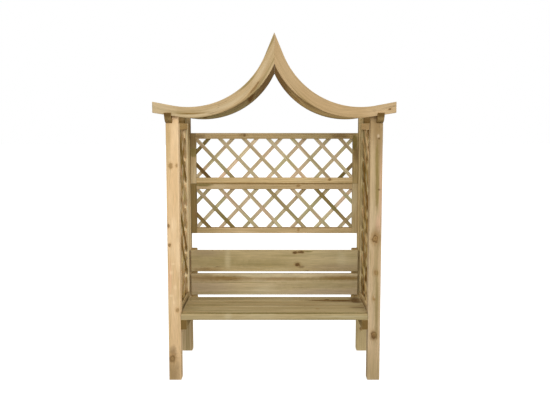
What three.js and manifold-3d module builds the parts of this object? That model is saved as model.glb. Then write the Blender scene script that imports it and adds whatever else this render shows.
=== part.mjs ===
// Timber arbour seat: four posts with a bench between them, trellis at the sides and the back, and an
// open roof of two ogee arches tied by a rail on each side.
// Millimetres, +Z up, the front towards -Y. The origin is on the ground, midway between the posts.

import * as THREE from "three";
import { mergeVertices } from "three/addons/utils/BufferGeometryUtils.js";
import Module from "manifold-3d";

const wasm = await Module();
wasm.setup();

// Overall sizes: over the outer faces of the posts, and up to the shoulders that the side rails lie on
const widthOverPosts = 1250;
const depthOverPosts = 656;
const shoulderHeight = 1520;

// Fits and cuts
const hairline = 0.3; // between two pieces that are housed in or screwed to each other
const overrun = 15; // how far a cutter runs past what it cuts

// Posts
const postSize = 72;
const postArris = 3;
const tongueHeight = 80;
const tongueDepth = 36;

// Side top rails
const railThickness = 38;
const railHeight = 57;
const railOverhang = 63;
const railNoseRadius = 75;

// Arches. A sweep is the arc of an edge, and its low point is given from the post's outer face and from
// the shoulder. The top edge runs straight into the apex, and both edges run straight into the tip.
const archThickness = 44;
const archOverhang = 68;
const archRise = 506;
const crotchRise = 329;
const topSweepInset = 135;
const topSweepRise = 90.5;
const undersideSweepInset = 153;
const undersideSweepRise = 29;
const apexRun = 134;
const topTipSlope = THREE.MathUtils.degToRad(10.7);
const undersideTipSlope = THREE.MathUtils.degToRad(9);

// Trellis frames and laths
const frameThickness = 36;
const stileWidth = 38;
const frameArris = 2.5;
const grooveDepth = 10;
const latticeFit = 0.5; // on each side of the lattice in its groove
const lathWidth = 24;
const lathThickness = 7;
const lathBite = 0.4; // how far two laths are pressed into each other where they are nailed

// Side panels
const sidePanelBottom = 377;
const sidePanelSetBack = 10; // from the posts' inner faces
const sideTopMember = 39;
const sideBottomMember = 37;
const sideDiamondWidth = 169; // from crossing to crossing
const sideDiamondHeight = 152.4;
const sideFallingShare = 0.7; // of the spacing, from the opening's centre to the nearest falling lath
const sideRisingShare = -0.3;

// Back panels
const backPanelBottom = 796;
const backPanelHeight = 331.5;
const backMember = 38;
const backPanelSetBack = 16;
const backDiamondWidth = 158;
const backDiamondHeight = 169;
const backLathShare = 0.5;

// Seat
const seatHeight = 400;
const seatThickness = 36;
const seatBoardGap = 6;
const seatBoardArris = 3;
const frontStripWidth = 44;
const frontStripNosing = 9;
const seatBoardWidth = 140;
const backSeatBoardWidth = 110;
const seatBoardEndGap = 1.5; // between a slat's end and the post's inner face

// Seat bearers
const bearerThickness = 35;
const bearerHeight = 57;
const bearerArris = 3;

// Backrest
const backrestThickness = 28;
const backrestBoardHeight = 142;
const backrestBoardGap = 14.5;
const backrestDrop = 10; // of the lower board's bottom edge below the seat's top
const backrestArris = 3;
const backrestEndGap = 2; // between a board's end and the post's inner face
const battenWidth = 39;
const battenThickness = 35;
const battenStandProud = 8;
const battenArris = 2.5;

// Fineness of the round stretches
const arrisSegments = 2;
const noseSegments = 6;
const sweepSegments = 24;

// Faces that more than one piece lines up with
const postOuter = widthOverPosts / 2;
const postInner = postOuter - postSize;
const frontFace = -depthOverPosts / 2;
const backFace = depthOverPosts / 2;
const frontPostRear = frontFace + postSize;
const backPostFront = backFace - postSize;
const railInner = postOuter - railThickness;
const railTop = shoulderHeight + railHeight;
const seatUnderside = seatHeight - seatThickness;
const bearerTop = seatUnderside - hairline;
const frontAndBack = [
  { end: "front", toward: -1, postFace: frontFace },
  { end: "back", toward: 1, postFace: backFace },
];
const leftAndRight = [
  { side: "left", outward: -1 },
  { side: "right", outward: 1 },
];

function finish(color, roughness) {
  return new THREE.MeshStandardMaterial({ color, roughness, metalness: 0 });
}

const finishes = {
  post: () => finish(0xcbb083, 0.72),
  rail: () => finish(0x9c8352, 0.76),
  arch: () => finish(0xbfa06f, 0.7),
  frame: () => finish(0x96804f, 0.76),
  lath: () => finish(0xa08c62, 0.78),
  board: () => finish(0x94825a, 0.74),
  bearer: () => finish(0x8a7145, 0.78),
};

function solidOf(geometry) {
  const bare = geometry.clone();
  bare.deleteAttribute("normal");
  bare.deleteAttribute("uv");
  const merged = mergeVertices(bare);
  return new wasm.Manifold(
    new wasm.Mesh({
      numProp: 3,
      vertProperties: Float32Array.from(merged.attributes.position.array),
      triVerts: Uint32Array.from(merged.index.array),
    }),
  );
}

function geometryOf(solid) {
  const mesh = solid.getMesh();
  const indexed = new THREE.BufferGeometry();
  indexed.setAttribute("position", new THREE.BufferAttribute(mesh.vertProperties, mesh.numProp));
  indexed.setIndex(new THREE.BufferAttribute(mesh.triVerts, 1));
  const geometry = indexed.toNonIndexed();
  geometry.computeVertexNormals();
  return geometry;
}

// The space between two opposite corners, in whichever order they come
function spaceBetween(cornerA, cornerB) {
  return new THREE.Box3().setFromPoints([
    new THREE.Vector3(...cornerA),
    new THREE.Vector3(...cornerB),
  ]);
}

function blockIn(space) {
  const block = new THREE.BoxGeometry(...space.getSize(new THREE.Vector3()));
  return block.translate(...space.getCenter(new THREE.Vector3()));
}

// A rectangle centred on the origin with its corners rounded, from the low corner anticlockwise
function easedRectangle(width, height, radii) {
  const quarter = Math.PI / 2;
  const corners = [
    [-1, -1],
    [1, -1],
    [1, 1],
    [-1, 1],
  ];
  const shape = new THREE.Shape();
  corners.forEach(([across, up], index) => {
    const radius = radii[index];
    const start = Math.PI + index * quarter;
    const x = across * (width / 2 - radius);
    const y = up * (height / 2 - radius);
    shape.absarc(x, y, radius, start, start + quarter, false);
  });
  return shape;
}

// Planed timber fills a space: its ends are cut square and the four arrises along its grain are eased
function timberIn(space, grain, arris) {
  const sectionOf = { x: ["y", "z"], y: ["z", "x"], z: ["x", "y"] };
  const axisOf = {
    x: new THREE.Vector3(1, 0, 0),
    y: new THREE.Vector3(0, 1, 0),
    z: new THREE.Vector3(0, 0, 1),
  };
  const size = space.getSize(new THREE.Vector3());
  const [across, up] = sectionOf[grain];
  const radii = Array.isArray(arris) ? arris : Array(4).fill(arris);
  const section = easedRectangle(size[across], size[up], radii);
  const timber = new THREE.ExtrudeGeometry(section, {
    depth: size[grain],
    bevelEnabled: false,
    curveSegments: arrisSegments,
  });
  timber.translate(0, 0, -size[grain] / 2);
  const basis = new THREE.Matrix4().makeBasis(axisOf[across], axisOf[up], axisOf[grain]);
  timber.applyMatrix4(basis);
  return timber.translate(...space.getCenter(new THREE.Vector3()));
}

// A piece's geometry is kept about its own centre, and the mesh is placed there
function piece(name, geometry, material) {
  geometry.computeBoundingBox();
  const centre = geometry.boundingBox.getCenter(new THREE.Vector3());
  const mesh = new THREE.Mesh(geometry.translate(-centre.x, -centre.y, -centre.z), material);
  mesh.name = name;
  mesh.position.copy(centre);
  return mesh;
}

// A post with the housing for the side rail cut out of its outer half, and the tongue beside the rail
// lapped to half the post's depth, flush with the post face that the arch lies on
function makePost({ side, outward }, { end, toward, postFace }) {
  const inner = outward * postInner;
  const outer = outward * postOuter;
  const farFace = postFace - toward * postSize;
  const tongueTop = shoulderHeight + tongueHeight;
  const blank = timberIn(spaceBetween([inner, postFace, 0], [outer, farFace, tongueTop]), "z", postArris);
  const railHousing = spaceBetween(
    [outward * (railInner - hairline), postFace + toward * overrun, shoulderHeight],
    [outer + outward * overrun, farFace - toward * overrun, tongueTop + overrun],
  );
  const lap = spaceBetween(
    [inner - outward * overrun, postFace - toward * tongueDepth, shoulderHeight],
    [outer + outward * overrun, farFace - toward * overrun, tongueTop + overrun],
  );
  const post = solidOf(blank).subtract(solidOf(blockIn(railHousing))).subtract(solidOf(blockIn(lap)));
  return piece("post_" + end + "_" + side, geometryOf(post), finishes.post());
}

// The side top rail in outline, Y across and Z up: each end is a convex nose that starts at the top edge
// and dies into the underside at the post's face
function sideRailOutline() {
  const bottom = shoulderHeight + hairline;
  const reach = depthOverPosts / 2 + railOverhang;
  const chord = new THREE.Vector2(-railOverhang, bottom - railTop);
  const toCentre = Math.sqrt(railNoseRadius ** 2 - chord.lengthSq() / 4) / chord.length();
  const centreY = reach + chord.x / 2 + chord.y * toCentre;
  const centreZ = railTop + chord.y / 2 - chord.x * toCentre;
  const topAngle = Math.atan2(railTop - centreZ, reach - centreY);
  const bottomAngle = Math.atan2(bottom - centreZ, backFace - centreY);
  const outline = new THREE.Shape();
  outline.absarc(-centreY, centreZ, railNoseRadius, Math.PI - topAngle, Math.PI - bottomAngle, false);
  outline.absarc(centreY, centreZ, railNoseRadius, bottomAngle, topAngle, false);
  outline.closePath();
  return outline;
}

function makeSideTopRail({ side, outward }) {
  const rail = new THREE.ExtrudeGeometry(sideRailOutline(), {
    depth: railThickness,
    bevelEnabled: false,
    curveSegments: noseSegments,
  });
  const basis = new THREE.Matrix4().makeBasis(
    new THREE.Vector3(0, 1, 0),
    new THREE.Vector3(0, 0, 1),
    new THREE.Vector3(1, 0, 0),
  );
  rail.applyMatrix4(basis);
  rail.translate(outward > 0 ? railInner : -postOuter, 0, 0);
  return piece("side_top_rail_" + side, rail, finishes.rail());
}

// The circle of a sweep, from its lowest point and the point that it, or a straight run of the given
// length tangent to it, ends at
function sweepFrom(end, low, run) {
  const across = low.x - end.x;
  const rise = end.y - low.y;
  const radius = (across ** 2 + rise ** 2 - run ** 2) / (2 * rise);
  const centre = new THREE.Vector2(low.x, low.y + radius);
  const startAngle = Math.atan2(end.y - centre.y, end.x - centre.x) + Math.atan2(run, radius);
  return { centre, radius, startAngle };
}

// Where the straight run that leaves a sweep at the given slope reaches the plumb cut at the tip
function tipOf({ centre, radius }, slope, tipX) {
  const leaveX = centre.x + radius * Math.sin(slope);
  const leaveZ = centre.y - radius * Math.cos(slope);
  return new THREE.Vector2(tipX, leaveZ + (tipX - leaveX) * Math.tan(slope));
}

// The right half of an arch in outline, X across and Z up: along the underside from the crotch to the
// tip, up the plumb cut and back along the top edge to the apex
function archOutline() {
  const tipX = postOuter + archOverhang;
  const apex = new THREE.Vector2(hairline / 2, shoulderHeight + archRise);
  const crotch = new THREE.Vector2(hairline / 2, shoulderHeight + crotchRise);
  const topLow = new THREE.Vector2(postOuter - topSweepInset, shoulderHeight + topSweepRise);
  const undersideLow = new THREE.Vector2(
    postOuter - undersideSweepInset,
    shoulderHeight + undersideSweepRise,
  );
  const top = sweepFrom(apex, topLow, apexRun);
  const underside = sweepFrom(crotch, undersideLow, 0);
  const down = -Math.PI / 2;
  const outline = new THREE.Shape();
  outline.absarc(
    underside.centre.x,
    underside.centre.y,
    underside.radius,
    underside.startAngle,
    down + undersideTipSlope,
    false,
  );
  outline.lineTo(tipX, tipOf(underside, undersideTipSlope, tipX).y);
  outline.lineTo(tipX, tipOf(top, topTipSlope, tipX).y);
  outline.absarc(top.centre.x, top.centre.y, top.radius, down + topTipSlope, top.startAngle, true);
  outline.lineTo(apex.x, apex.y);
  outline.closePath();
  return outline;
}

// Half an arch, notched over the side top rail. The left half is the right one turned about the plumb
// line through the apex.
function makeArch({ side, outward }, { end, toward, postFace }) {
  const half = new THREE.ExtrudeGeometry(archOutline(), {
    depth: archThickness,
    bevelEnabled: false,
    curveSegments: sweepSegments,
  });
  half.rotateX(Math.PI / 2).translate(0, archThickness / 2, 0);
  const railNotch = spaceBetween(
    [railInner - hairline, -archThickness / 2 - overrun, shoulderHeight - overrun],
    [postOuter + hairline, archThickness / 2 + overrun, railTop + hairline],
  );
  const notched = geometryOf(solidOf(half).subtract(solidOf(blockIn(railNotch))));
  if (outward < 0) notched.rotateZ(Math.PI);
  notched.translate(0, postFace + toward * (hairline + archThickness / 2), 0);
  return piece("arch_" + end + "_" + side, notched, finishes.arch());
}

// A trellis frame's upright, seen from the front and ploughed along its inner edge
function makeStile(name, edge, frame) {
  const halfHeight = frame.height / 2;
  const innerX = frame.width / 2 - stileWidth;
  const blank = spaceBetween(
    [edge * innerX, -frameThickness / 2, -halfHeight],
    [(edge * frame.width) / 2, frameThickness / 2, halfHeight],
  );
  const groove = spaceBetween(
    [edge * (innerX - overrun), -frame.groove / 2, -halfHeight - overrun],
    [edge * (innerX + grooveDepth), frame.groove / 2, halfHeight + overrun],
  );
  const stile = solidOf(timberIn(blank, "z", frameArris)).subtract(solidOf(blockIn(groove)));
  return piece(name, geometryOf(stile), finishes.frame());
}

// A trellis frame's cross member: it ends in stub tenons that fill the stiles' grooves, and its own
// groove runs through them
function makeCrossMember(name, edge, depth, frame) {
  const shoulderX = frame.width / 2 - stileWidth - hairline;
  const tenonX = frame.width / 2 - stileWidth + grooveDepth - hairline;
  const outerZ = (edge * frame.height) / 2;
  const innerZ = outerZ - edge * depth;
  const face = frameThickness / 2;
  const blank = spaceBetween([-tenonX, -face, outerZ], [tenonX, face, innerZ]);
  const groove = spaceBetween(
    [-tenonX - overrun, -frame.groove / 2, innerZ - edge * overrun],
    [tenonX + overrun, frame.groove / 2, innerZ + edge * grooveDepth],
  );
  let member = solidOf(timberIn(blank, "x", frameArris)).subtract(solidOf(blockIn(groove)));
  for (const tenon of [-1, 1]) {
    for (const cheek of [-1, 1]) {
      const waste = spaceBetween(
        [tenon * shoulderX, cheek * (frame.groove / 2 - hairline), outerZ + edge * overrun],
        [tenon * (tenonX + overrun), cheek * (face + overrun), innerZ - edge * overrun],
      );
      member = member.subtract(solidOf(blockIn(waste)));
    }
  }
  return piece(name, geometryOf(member), finishes.frame());
}

// Diagonal laths nailed in two layers, cut to the opening and the grooves round it. Along a lath that
// falls to the right, x / across + z / up keeps one value, its offset; a lath that rises keeps
// z / up - x / across. A lath that would cross no other one in the opening is left out.
function makeLattice(name, { halfWidth, bottom, top }, { across, up, fallingShare, risingShare }) {
  const halfHeight = (top - bottom) / 2;
  const farthest = Math.ceil(halfWidth / across + halfHeight / up);
  const steps = Array.from({ length: 2 * farthest + 1 }, (_, index) => index - farthest);
  const layers = [
    { rising: -1, offsets: steps.map((step) => step + fallingShare) },
    { rising: 1, offsets: steps.map((step) => step + risingShare) },
  ];
  const crossInOpening = (one, other) =>
    (Math.abs(one - other) * across) / 2 < halfWidth && (Math.abs(one + other) * up) / 2 < halfHeight;

  const slope = Math.atan2(up, across);
  const length = 2 * Math.hypot(halfWidth, halfHeight) + overrun;
  const layerY = (lathThickness - lathBite) / 2;
  const laths = layers.flatMap(({ rising, offsets }, index) => {
    const others = layers[1 - index].offsets;
    const crossed = offsets.filter((one) => others.some((other) => crossInOpening(one, other)));
    return crossed.map((offset) => {
      const toNearest = offset / (across ** -2 + up ** -2);
      const lath = new THREE.BoxGeometry(length, lathThickness, lathWidth);
      lath.rotateY(-rising * slope);
      lath.translate((-rising * toNearest) / across, rising * layerY, toNearest / up);
      return solidOf(lath);
    });
  });
  const intoGroove = grooveDepth - hairline;
  const trimmed = spaceBetween(
    [-halfWidth - intoGroove, -lathThickness, -halfHeight - intoGroove],
    [halfWidth + intoGroove, lathThickness, halfHeight + intoGroove],
  );
  const lattice = laths.reduce((nailed, lath) => nailed.add(lath)).intersect(solidOf(blockIn(trimmed)));
  const geometry = geometryOf(lattice).translate(0, 0, (top + bottom) / 2);
  return piece(name, geometry, finishes.lath());
}

// A framed trellis panel centred on its own origin, X across and Z up
function makeTrellisPanel(prefix, { width, height, topMember, bottomMember, stiles, diamonds }) {
  const groove = 2 * (lathThickness + latticeFit) - lathBite;
  const frame = { width, height, groove };
  const opening = {
    halfWidth: width / 2 - stileWidth,
    bottom: -height / 2 + bottomMember,
    top: height / 2 - topMember,
  };
  const panel = new THREE.Group();
  panel.add(
    makeStile(prefix + stiles[0] + "_stile", -1, frame),
    makeStile(prefix + stiles[1] + "_stile", 1, frame),
    makeCrossMember(prefix + "top_rail", 1, topMember, frame),
    makeCrossMember(prefix + "bottom_rail", -1, bottomMember, frame),
    makeLattice(prefix + "lattice", opening, diamonds),
  );
  return panel;
}

// A side panel stands between a front and a back post, a little behind their inner faces, from below
// the seat's top to the shoulders
function makeSidePanel({ side, outward }) {
  const panel = makeTrellisPanel("side_panel_" + side + "_", {
    width: backPostFront - frontPostRear - 2 * hairline,
    height: shoulderHeight - sidePanelBottom,
    topMember: sideTopMember,
    bottomMember: sideBottomMember,
    stiles: ["front", "back"],
    diamonds: {
      across: sideDiamondWidth,
      up: sideDiamondHeight,
      fallingShare: sideFallingShare,
      risingShare: sideRisingShare,
    },
  });
  panel.rotation.z = Math.PI / 2;
  panel.position.set(
    outward * (postInner + sidePanelSetBack + frameThickness / 2),
    (frontPostRear + backPostFront) / 2,
    (shoulderHeight + sidePanelBottom) / 2,
  );
  return panel;
}

// The back panels stand one on the other between the back posts
function makeBackPanel(level, index) {
  const bottom = backPanelBottom + index * backPanelHeight;
  const panel = makeTrellisPanel("back_panel_" + level + "_", {
    width: 2 * (postInner - hairline),
    height: backPanelHeight - hairline,
    topMember: backMember,
    bottomMember: backMember,
    stiles: ["left", "right"],
    diamonds: {
      across: backDiamondWidth,
      up: backDiamondHeight,
      fallingShare: backLathShare,
      risingShare: backLathShare,
    },
  });
  const centreY = backPostFront + backPanelSetBack + frameThickness / 2;
  panel.position.set(0, centreY, bottom + backPanelHeight / 2);
  return panel;
}

// The bearer is fixed to the inner faces of a front and a back post and runs over the depth of both
function makeSeatBearer({ side, outward }) {
  const outerX = outward * (postInner - hairline);
  const space = spaceBetween(
    [outerX - outward * bearerThickness, frontFace, bearerTop - bearerHeight],
    [outerX, backFace, bearerTop],
  );
  return piece("seat_bearer_" + side, timberIn(space, "y", bearerArris), finishes.bearer());
}

// The seat's slats lie across the bearers from the posts' front faces backwards
function makeSeat() {
  const plain = seatBoardArris;
  const slats = [
    { name: "seat_front_strip", width: frontStripWidth, arris: [plain, plain, plain, frontStripNosing] },
    { name: "seat_board_front", width: seatBoardWidth, arris: plain },
    { name: "seat_board_middle", width: seatBoardWidth, arris: plain },
    { name: "seat_board_back", width: backSeatBoardWidth, arris: plain },
  ];
  const halfLength = postInner - seatBoardEndGap;
  const seat = new THREE.Group();
  let front = frontFace;
  for (const { name, width, arris } of slats) {
    const space = spaceBetween(
      [-halfLength, front, seatUnderside],
      [halfLength, front + width, seatHeight],
    );
    seat.add(piece(name, timberIn(space, "x", arris), finishes.board()));
    front += width + seatBoardGap;
  }
  return seat;
}

// Two boards lie on the front faces of the battens, which stand on the bearers against the back posts
function makeBackrest() {
  const rearFace = backPostFront - hairline;
  const halfLength = postInner - backrestEndGap;
  const lowest = seatHeight - backrestDrop;
  const pitch = backrestBoardHeight + backrestBoardGap;
  const backrest = new THREE.Group();
  ["lower", "upper"].forEach((level, index) => {
    const bottom = lowest + index * pitch;
    const space = spaceBetween(
      [-halfLength, rearFace - backrestThickness, bottom],
      [halfLength, rearFace, bottom + backrestBoardHeight],
    );
    backrest.add(piece("backrest_board_" + level, timberIn(space, "x", backrestArris), finishes.board()));
  });
  const battenTop = lowest + pitch + backrestBoardHeight + battenStandProud;
  for (const { side, outward } of leftAndRight) {
    const outerX = outward * (postInner - hairline);
    const space = spaceBetween(
      [outerX - outward * battenWidth, backPostFront, bearerTop + hairline],
      [outerX, backPostFront + battenThickness, battenTop],
    );
    backrest.add(piece("backrest_batten_" + side, timberIn(space, "z", battenArris), finishes.bearer()));
  }
  return backrest;
}

const arbourSeat = new THREE.Group();
for (const place of leftAndRight) {
  for (const reach of frontAndBack) {
    arbourSeat.add(makePost(place, reach), makeArch(place, reach));
  }
  arbourSeat.add(makeSideTopRail(place), makeSidePanel(place), makeSeatBearer(place));
}
arbourSeat.add(makeBackPanel("lower", 0), makeBackPanel("upper", 1), makeSeat(), makeBackrest());

export default arbourSeat;
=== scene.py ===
import math
import random

import bmesh
import bpy
from mathutils import Euler, Matrix, Vector


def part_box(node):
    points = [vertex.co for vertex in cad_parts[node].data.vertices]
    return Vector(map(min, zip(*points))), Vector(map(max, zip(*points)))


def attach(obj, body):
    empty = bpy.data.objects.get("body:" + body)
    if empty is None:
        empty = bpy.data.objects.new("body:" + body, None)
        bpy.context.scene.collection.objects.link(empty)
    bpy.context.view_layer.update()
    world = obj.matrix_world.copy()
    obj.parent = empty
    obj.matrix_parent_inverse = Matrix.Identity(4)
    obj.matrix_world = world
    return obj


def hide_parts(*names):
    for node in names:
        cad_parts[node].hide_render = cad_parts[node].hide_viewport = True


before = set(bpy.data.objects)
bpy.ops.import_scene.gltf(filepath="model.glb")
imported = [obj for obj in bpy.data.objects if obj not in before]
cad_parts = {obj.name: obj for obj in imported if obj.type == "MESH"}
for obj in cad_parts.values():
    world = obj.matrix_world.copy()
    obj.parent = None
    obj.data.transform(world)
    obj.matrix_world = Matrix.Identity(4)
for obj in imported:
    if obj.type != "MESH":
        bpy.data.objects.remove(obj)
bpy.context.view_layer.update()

scene = bpy.context.scene


# Camera, at the photograph's place: a little above the back trellis, and tipped down
camera = {
    "imageWidth": 550,
    "focalLength": 740.4,  # in pixels of that width
    "sensorWidth": 36.0,
    "tipDown": 6.01,  # degrees
    "height": 1.4915,
    "standoff": 4.276,  # from the front posts' front faces
    "sideways": 0.0039,
}


def placeCamera():
    data = bpy.data.cameras.new("camera")
    data.sensor_width = camera["sensorWidth"]
    data.lens = camera["focalLength"] * camera["sensorWidth"] / camera["imageWidth"]
    body = bpy.data.objects.new("camera", data)
    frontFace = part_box("post_front_left")[0].y
    body.location = (camera["sideways"], frontFace - camera["standoff"], camera["height"])
    body.rotation_euler = (math.radians(90 - camera["tipDown"]), 0, 0)
    scene.collection.objects.link(body)
    scene.camera = body


placeCamera()
print("camera placed")


# Small helpers for node trees
def fillInput(tree, socket, value):
    if isinstance(value, bpy.types.NodeSocket):
        tree.links.new(value, socket)
    else:
        socket.default_value = value


def addNode(tree, kind, values=None, **settings):
    node = tree.nodes.new(kind)
    for name, value in settings.items():
        setattr(node, name, value)
    for key, value in (values or {}).items():
        fillInput(tree, node.inputs[key], value)
    return node


def mathOf(tree, operation, *values, clamp=False):
    node = addNode(tree, "ShaderNodeMath", dict(enumerate(values)), operation=operation, use_clamp=clamp)
    return node.outputs[0]


def vectorOf(tree, operation, *values, output="Vector"):
    node = addNode(tree, "ShaderNodeVectorMath", dict(enumerate(values)), operation=operation)
    return node.outputs[output]


def smoothStep(tree, value, low, high, lowResult=0.0, highResult=1.0):
    values = {"Value": value, "From Min": low, "From Max": high, "To Min": lowResult, "To Max": highResult}
    node = addNode(tree, "ShaderNodeMapRange", values, interpolation_type="SMOOTHSTEP")
    return node.outputs["Result"]


def noiseOf(tree, place, scale=1.0, detail=2.0, roughness=0.5, output="Fac"):
    values = {"Vector": place, "Scale": scale, "Detail": detail, "Roughness": roughness}
    return addNode(tree, "ShaderNodeTexNoise", values).outputs[output]


def mixColour(tree, share, colourA, colourB, blend="MIX"):
    node = addNode(tree, "ShaderNodeMix", data_type="RGBA", blend_type=blend)
    for index, value in ((0, share), (6, colourA), (7, colourB)):
        fillInput(tree, node.inputs[index], value)
    return node.outputs[2]


def paint(red, green, blue, strength=1.0):
    def toLinear(level):
        level = level / 255
        return level / 12.92 if level <= 0.04045 else ((level + 0.055) / 1.055) ** 2.4

    return (toLinear(red) * strength, toLinear(green) * strength, toLinear(blue) * strength, 1.0)


def newGroup(name, inputs, outputs):
    tree = bpy.data.node_groups.new(name, "ShaderNodeTree")
    for label, kind in inputs.items():
        tree.interface.new_socket(label, in_out="INPUT", socket_type="NodeSocket" + kind)
    for label, kind in outputs.items():
        tree.interface.new_socket(label, in_out="OUTPUT", socket_type="NodeSocket" + kind)
    return tree, tree.nodes.new("NodeGroupInput"), tree.nodes.new("NodeGroupOutput")


def fillGroup(tree, group, values):
    return addNode(tree, "ShaderNodeGroup", node_tree=group, values=values)


def freshMaterial(name):
    material = bpy.data.materials.new(name)
    material.use_nodes = True
    material.node_tree.nodes.clear()
    return material, material.node_tree


def useShader(tree, values):
    shader = addNode(tree, "ShaderNodeBsdfPrincipled", values)
    addNode(tree, "ShaderNodeOutputMaterial", {"Surface": shader.outputs["BSDF"]})


# How the pine's figure runs. A wave gives the noise per metre across the grain, twice, and along it.
figures = {
    "wanderWave": (7.0, 7.0, 1.1),
    "ringWave": (60.0, 60.0, 2.5),
    "ringUneven": 0.9,  # in ring widths
    "lateRise": (0.3, 0.9),  # in shares of a ring
    "lateDrop": (0.93, 1.0),
    "streakWave": (34.0, 34.0, 1.3),
    "cloudWave": (9.0, 9.0, 2.4),
    "fibreWave": (620.0, 620.0, 13.0),
    "crackWave": (85.0, 85.0, 2.1),
    "crackEdge": (0.002, 0.009),
    "crackPatchWave": (16.0, 16.0, 3.4),
    "crackPatchEdge": (0.62, 0.68),
}


# Growth rings round a pith that lies along local Z, with streaks, fibres and drying checks along it
def makePineFigure():
    inputs = {"Place": "Vector", "Seed": "Vector", "Ring Width": "Float", "Sway": "Float"}
    outputs = {"Late Wood": "Float", "Streak": "Float", "Cloud": "Float", "Fibre": "Float", "Check": "Float"}
    tree, given, made = newGroup("pine figure", inputs, outputs)
    place = vectorOf(tree, "ADD", given.outputs["Place"], given.outputs["Seed"])

    def waveOf(kind, detail, roughness=0.5, output="Fac"):
        return noiseOf(tree, vectorOf(tree, "MULTIPLY", place, figures[kind]), 1.0, detail, roughness, output)

    wander = vectorOf(tree, "SUBTRACT", waveOf("wanderWave", 2.0, output="Color"), (0.5, 0.5, 0.5))
    sway = {0: wander, "Scale": given.outputs["Sway"]}
    swayed = addNode(tree, "ShaderNodeVectorMath", sway, operation="SCALE").outputs["Vector"]
    around = vectorOf(tree, "ADD", given.outputs["Place"], swayed)
    across = vectorOf(tree, "MULTIPLY", around, (1.0, 1.0, 0.0))
    radius = vectorOf(tree, "LENGTH", across, output="Value")
    rings = mathOf(tree, "DIVIDE", radius, given.outputs["Ring Width"])
    uneven = mathOf(tree, "MULTIPLY", waveOf("ringWave", 1.0), figures["ringUneven"])
    season = mathOf(tree, "FRACT", mathOf(tree, "ADD", rings, uneven))
    rise = smoothStep(tree, season, *figures["lateRise"])
    drop = smoothStep(tree, season, *figures["lateDrop"], 1.0, 0.0)
    tree.links.new(mathOf(tree, "MULTIPLY", rise, drop), made.inputs["Late Wood"])
    tree.links.new(waveOf("streakWave", 3.0, 0.55), made.inputs["Streak"])
    tree.links.new(waveOf("cloudWave", 2.0), made.inputs["Cloud"])
    tree.links.new(waveOf("fibreWave", 2.0, 0.6), made.inputs["Fibre"])

    nearLine = mathOf(tree, "ABSOLUTE", mathOf(tree, "SUBTRACT", waveOf("crackWave", 2.0), 0.5))
    line = smoothStep(tree, nearLine, *figures["crackEdge"], 1.0, 0.0)
    allowed = smoothStep(tree, waveOf("crackPatchWave", 1.0), *figures["crackPatchEdge"])
    tree.links.new(mathOf(tree, "MULTIPLY", line, allowed), made.inputs["Check"])
    return tree


# Where a mark's parts lie, in shares of its radius
markShape = {
    "roughScale": 55.0,
    "rimRise": (0.4, 0.85),
    "rimDrop": (0.9, 1.3),
    "heartEdge": (0.05, 0.4),
    "haloEdge": (0.9, 2.3),
    "bendFalloff": 0.16,
}


# One mark in the wood, a knot, a stain or a patch of painted light or shade: an ellipsoid that the grain
# bends round
def makeMark():
    inputs = {"Position": "Vector", "Place": "Vector", "Centre": "Vector", "Size": "Vector"}
    inputs.update({"Bend": "Float", "Soft Edge": "Float", "Wobble": "Float"})
    outputs = {"Place": "Vector", "Mask": "Float", "Rim": "Float", "Heart": "Float", "Halo": "Float"}
    tree, given, made = newGroup("mark", inputs, outputs)
    offset = vectorOf(tree, "SUBTRACT", given.outputs["Position"], given.outputs["Centre"])
    scaled = vectorOf(tree, "DIVIDE", offset, given.outputs["Size"])
    plain = vectorOf(tree, "LENGTH", scaled, output="Value")
    noise = noiseOf(tree, given.outputs["Position"], markShape["roughScale"], 3.0, 0.6)
    rough = mathOf(tree, "SUBTRACT", noise, 0.5)
    distance = mathOf(tree, "MULTIPLY_ADD", rough, given.outputs["Wobble"], plain)
    inner = mathOf(tree, "SUBTRACT", 1.0, given.outputs["Soft Edge"])
    outer = mathOf(tree, "ADD", 1.0, given.outputs["Soft Edge"])
    tree.links.new(smoothStep(tree, distance, inner, outer, 1.0, 0.0), made.inputs["Mask"])
    rimRise = smoothStep(tree, distance, *markShape["rimRise"])
    rimDrop = smoothStep(tree, distance, *markShape["rimDrop"], 1.0, 0.0)
    tree.links.new(mathOf(tree, "MULTIPLY", rimRise, rimDrop), made.inputs["Rim"])
    tree.links.new(smoothStep(tree, distance, *markShape["heartEdge"], 1.0, 0.0), made.inputs["Heart"])
    tree.links.new(smoothStep(tree, distance, *markShape["haloEdge"], 1.0, 0.0), made.inputs["Halo"])
    fade = mathOf(tree, "MULTIPLY", mathOf(tree, "POWER", plain, 2.0), -markShape["bendFalloff"])
    falloff = mathOf(tree, "EXPONENT", fade)
    pull = mathOf(tree, "MULTIPLY", mathOf(tree, "MULTIPLY", falloff, given.outputs["Bend"]), -1.0)
    pulled = addNode(tree, "ShaderNodeVectorMath", {0: offset, "Scale": pull}, operation="SCALE")
    moved = vectorOf(tree, "ADD", given.outputs["Place"], pulled.outputs["Vector"])
    tree.links.new(moved, made.inputs["Place"])
    return tree


# How near to the grain, or to an axis, a face's normal is where the mask begins and ends
normalEdges = {"endGrain": (0.72, 0.92), "arris": (0.76, 0.97)}


# 1 where a face is cut across the grain
def makeEndGrain():
    tree, given, made = newGroup("end grain", {"Normal": "Vector", "Grain": "Vector"}, {"Mask": "Float"})
    along = vectorOf(tree, "DOT_PRODUCT", given.outputs["Normal"], given.outputs["Grain"], output="Value")
    cut = smoothStep(tree, mathOf(tree, "ABSOLUTE", along), *normalEdges["endGrain"])
    tree.links.new(cut, made.inputs["Mask"])
    return tree
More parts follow.
